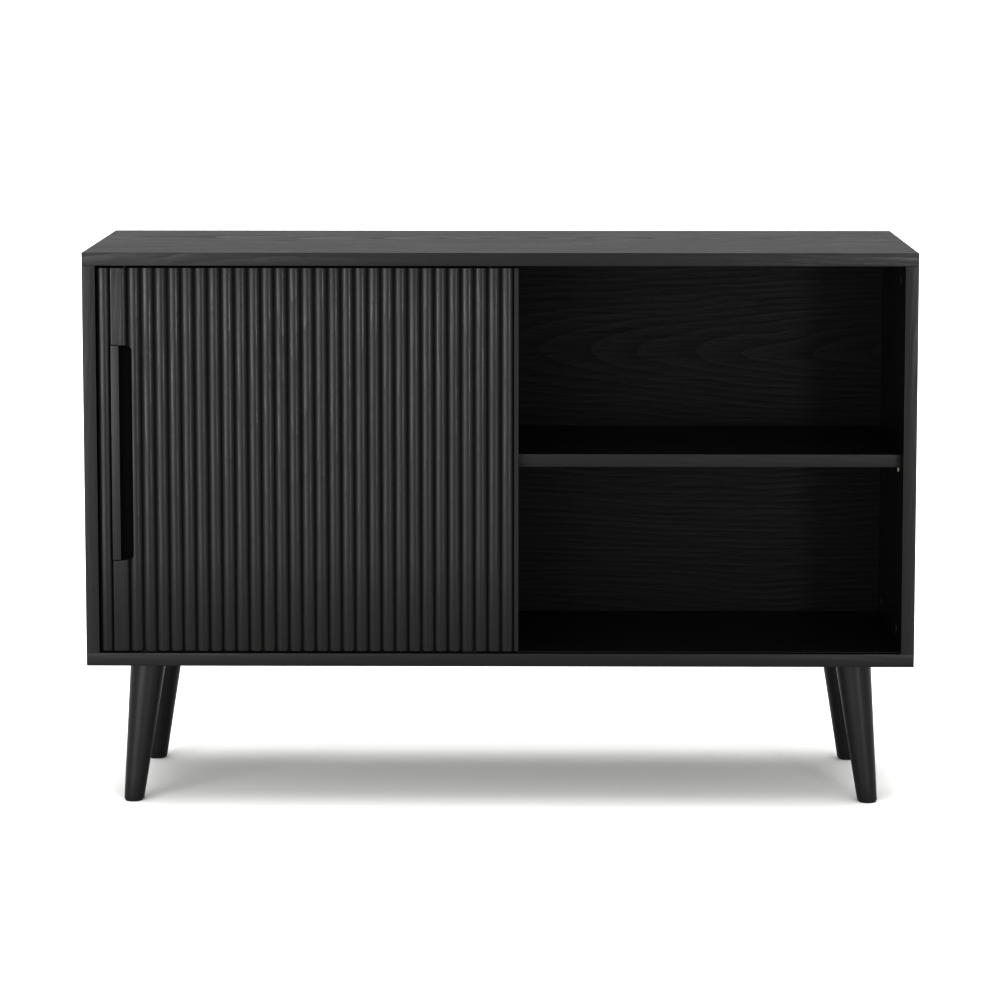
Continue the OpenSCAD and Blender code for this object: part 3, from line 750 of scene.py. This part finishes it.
def turned_leg(name, node, across, deep):
    """A cone about a leaning axis between two level planes. Each row is the axis point at that
    height plus the ellipse that the level plane cuts: in direction d, the reach at which the
    distance from the axis is the radius. The rows at the foot are drawn in to round its rim."""
    low, high = corners(node)
    turn = np.radians(np.linspace(90, 0, 7))
    shaft = np.linspace(low[2] + 30, high[2], 8)
    level = np.concatenate([low[2] + foot_rim * (1 - np.sin(turn)), shaft])
    drawn = np.concatenate([foot_rim * (1 - np.cos(turn)), np.zeros(len(shaft))])
    around = circle(96)
    grow = (top_radius - foot_radius) / leg_length
    lean = np.array([across * splay_across, deep * splay_deep]) / leg_length
    toward = around @ lean
    stretch = 1 / np.sqrt(1 - toward**2 / (1 + lean @ lean))
    shift = 1 / (1 + grow * toward * stretch)
    radius = foot_radius + grow * level
    reach = radius[:, None] * (stretch * shift)[None] - drawn[:, None]
    foot = np.array([across * foot_across[deep], deep * foot_deep])
    axis = foot - lean * level[:, None]
    flat = axis[:, None] + around[None] * reach[..., None]
    height = np.broadcast_to(level[:, None, None], (*reach.shape, 1))
    leg = surface(name, np.concatenate([flat, height], -1))
    return dress(leg, "case", leg_lacquer, node)


turned_leg("front_left_turned_leg", "front_left_leg", -1, -1)
turned_leg("front_right_turned_leg", "front_right_leg", 1, -1)
turned_leg("rear_left_turned_leg", "rear_left_leg", -1, 1)
turned_leg("rear_right_turned_leg", "rear_right_leg", 1, 1)


# ---------------------------------------------------------------------------
# Small hardware: moulded black nylon tracks, wheels, housings, sleeves and glides, nickel- or
# zinc-plated steel supports, plates, bolts and screws, and beech dowels. All are solids of the
# frame, and get their finish here.
# ---------------------------------------------------------------------------
# nylon from a spark-eroded mould: matt black, with a fine even grain, drawn at about 0.5 mm
black_nylon = new_material("black moulded nylon")
place = add(black_nylon, "ShaderNodeTexCoord")
grain = add(
    black_nylon,
    "ShaderNodeTexNoise",
    {"Scale": 1800.0, "Detail": 2.0},
    {"Vector": place.outputs["Object"]},
)
tint = add(
    black_nylon,
    "ShaderNodeMix",
    {"data_type": "RGBA", 6: linear("#0b0b0b"), 7: linear("#161616")},
    {0: grain.outputs["Fac"]},
)
relief = add(
    black_nylon,
    "ShaderNodeBump",
    {"Strength": 0.2, "Distance": 0.0001},
    {"Height": grain.outputs["Fac"]},
)
finish_material(
    black_nylon,
    {"Roughness": 0.5, "IOR": 1.53},
    {"Base Color": tint.outputs[2], "Normal": relief.outputs["Normal"]},
)


# barrel-plated steel: a soft mottle of brighter and duller patches about 4 mm across, the nickel
# warm and the zinc a cooler, duller grey
def plated_steel(name, dull, bright, smooth, rough):
    steel = new_material(name)
    place = add(steel, "ShaderNodeTexCoord")
    patches = add(
        steel,
        "ShaderNodeTexNoise",
        {"Scale": 240.0, "Detail": 4.0, "Roughness": 0.6},
        {"Vector": place.outputs["Object"]},
    )
    tint = add(
        steel,
        "ShaderNodeMix",
        {"data_type": "RGBA", 6: linear(dull), 7: linear(bright)},
        {0: patches.outputs["Fac"]},
    )
    gloss = add(
        steel,
        "ShaderNodeMapRange",
        {"To Min": smooth, "To Max": rough},
        {"Value": patches.outputs["Fac"]},
    )
    links = {"Base Color": tint.outputs[2], "Roughness": gloss.outputs["Result"]}
    return finish_material(steel, {"Metallic": 1.0}, links)


nickel_plate = plated_steel("nickel-plated steel", "#b5b0a6", "#cfcbc2", 0.22, 0.34)
zinc_plate = plated_steel("bright zinc-plated steel", "#9fa3a8", "#c3c7cc", 0.28, 0.45)

# bare beech: pale and dull, with darker flecks about 1 mm wide and 17 mm long
bare_beech = new_material("bare beech dowel rod")
place = add(bare_beech, "ShaderNodeTexCoord")
stretched = add(
    bare_beech,
    "ShaderNodeMapping",
    {"Scale": (900.0, 900.0, 60.0)},
    {"Vector": place.outputs["Object"]},
)
fleck = add(
    bare_beech,
    "ShaderNodeTexNoise",
    {"Scale": 1.0, "Detail": 3.0},
    {"Vector": stretched.outputs["Vector"]},
)
tint = add(
    bare_beech,
    "ShaderNodeMix",
    {"data_type": "RGBA", 6: linear("#a87f56"), 7: linear("#cba77c")},
    {0: fleck.outputs["Fac"]},
)
finish_material(bare_beech, {"Roughness": 0.6, "IOR": 1.5}, {"Base Color": tint.outputs[2]})

finish_of = {
    "black_nylon": black_nylon,
    "nickel_steel": nickel_plate,
    "zinc_steel": zinc_plate,
    "raw_beech": bare_beech,
}
for part in frame["record"]["subparts"]:
    if part["material_slot"] in finish_of:
        refinish(part["node"], finish_of[part["material_slot"]])


# ---------------------------------------------------------------------------
# Guide springs: in each of the door's two top guides, a coil of seven turns of 0.7 mm zinc-plated
# wire stands in the sleeve under the plunger. The real coil closes up as the plunger is pushed in;
# here it is drawn at one length.
# ---------------------------------------------------------------------------
wire_radius, coil_turns, plunger_travel = 0.35, 7, 6.5
for side in ("left", "right"):
    low, high = corners(f"{side}_guide_spring")
    # a helix: each row is the wire's round section, carried round the coil as it rises
    along = np.linspace(0, 1, coil_turns * 24 + 1)
    round_coil = arc(0, 360 * coil_turns, len(along))
    round_wire = circle(12) * wire_radius
    reach = (high[0] - low[0]) / 2 - wire_radius + round_wire[None, :, :1]
    flat = (low[:2] + high[:2]) / 2 + round_coil[:, None] * reach
    climb = along[:, None, None] * (high[2] - low[2] - 2 * wire_radius)
    rise = low[2] + wire_radius + climb + round_wire[None, :, 1:]
    coil = surface(f"{side}_coil_spring", np.concatenate([flat, rise], -1))
    dress(coil, "door", zinc_plate, f"{side}_guide_spring")
    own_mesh(coil)


# ---------------------------------------------------------------------------
# Studio: a pale painted floor, a very soft overhead light, two soft lights from the left front and
# a narrower one from the right front, between pale walls. None of it belongs to the sideboard.
# ---------------------------------------------------------------------------
# matt white floor paint, clouded so faintly that it reads as one tone
floor_paint = new_material("pale studio floor paint")
place = add(floor_paint, "ShaderNodeTexCoord")
cloud = add(
    floor_paint,
    "ShaderNodeTexNoise",
    {"Scale": 1.5, "Detail": 2.0},
    {"Vector": place.outputs["Object"]},
)
tint = add(
    floor_paint,
    "ShaderNodeMix",
    {"data_type": "RGBA", 6: linear("#f4f4f3"), 7: linear("#f8f8f7")},
    {0: cloud.outputs["Fac"]},
)
finish_material(floor_paint, {"Roughness": 0.9, "IOR": 1.2}, {"Base Color": tint.outputs[2]})
floor_half, floor_thickness = 200000.0, 40.0
floor_points = np.zeros((2, 4, 3))
floor_points[..., :2] = np.array([[-1, -1], [1, -1], [1, 1], [-1, 1]]) * floor_half
floor_points[0, :, 2] = -floor_thickness
studio_floor = surface("studio_floor", floor_points)
studio_floor.data.materials.append(floor_paint)


lit_point = (-0.3, -0.2, 0.4)  # the middle of the door


def soft_light(name, place, size, power):
    """A soft light of a size in metres, facing the door from a point."""
    lamp = bpy.data.lights.new(name, "AREA")
    lamp.shape, lamp.size, lamp.size_y, lamp.energy = "RECTANGLE", *size, power
    light = bpy.data.objects.new(name, lamp)
    bpy.context.scene.collection.objects.link(light)
    light.location = place
    facing = np.array(lit_point) - np.array(place)
    light.rotation_euler = Vector(facing).to_track_quat("-Z", "Y").to_euler()


overhead = bpy.data.objects.new("overhead_light", bpy.data.lights.new("overhead_light", "SUN"))
bpy.context.scene.collection.objects.link(overhead)
overhead.data.energy, overhead.data.angle = 1.6, np.radians(60)
soft_light("left_wall_light", (-2.1, -2.6, 0.62), (1.2, 1.2), 30.0)
soft_light("front_left_light", (-1.7, -5.0, 0.75), (1.8, 1.4), 38.0)
soft_light("right_strip_light", (2.05, -4.4, 0.55), (0.5, 1.0), 42.0)

# walls: a little brighter low down than above, and more than twice as bright ahead of the
# sideboard as behind it
sky = bpy.data.worlds.new("studio walls")
sky.use_nodes = True
sky.node_tree.nodes.clear()
bpy.context.scene.world = sky
outwards = add(sky, "ShaderNodeTexCoord")
direction = add(sky, "ShaderNodeSeparateXYZ", links={"Vector": outwards.outputs["Generated"]})
low_wall = add(
    sky,
    "ShaderNodeMapRange",
    {
        "interpolation_type": "SMOOTHSTEP",
        "From Min": 0.20,
        "From Max": 0.60,
        "To Min": 0.53,
        "To Max": 0.40,
    },
    {"Value": direction.outputs["Z"]},
)
ahead = add(
    sky,
    "ShaderNodeMapRange",
    {
        "interpolation_type": "SMOOTHSTEP",
        "From Min": -0.1,
        "From Max": -0.8,
        "To Min": 1.0,
        "To Max": 2.4,
    },
    {"Value": direction.outputs["Y"]},
)
both = add(
    sky,
    "ShaderNodeMath",
    {"operation": "MULTIPLY"},
    {0: low_wall.outputs["Result"], 1: ahead.outputs["Result"]},
)
glow = add(
    sky, "ShaderNodeBackground", {"Color": linear("#ffffff")}, {"Strength": both.outputs["Value"]}
)
add(sky, "ShaderNodeOutputWorld", links={"Surface": glow.outputs["Background"]})

# camera: a long lens a little above the top panel, 5 m ahead, tipped 6 degrees down. The exposure
# and gamma lift the darkest tones, so that black stays apart from black.
camera = bpy.data.objects.new("camera", bpy.data.cameras.new("camera"))
bpy.context.scene.collection.objects.link(camera)
camera.data.sensor_width = 36.0
camera.data.lens = 120.84
camera.data.shift_y = -0.18
camera.data.clip_start, camera.data.clip_end = 0.1, 500.0
camera.location = (0.0457, -4.9884, 1.2354)
camera.rotation_euler = (quarter - 0.1071, 0.0, 0.0095)
bpy.context.scene.camera = camera
bpy.context.scene.view_settings.view_transform = "Standard"
bpy.context.scene.view_settings.gamma = 0.65
bpy.context.scene.view_settings.exposure = 0.75
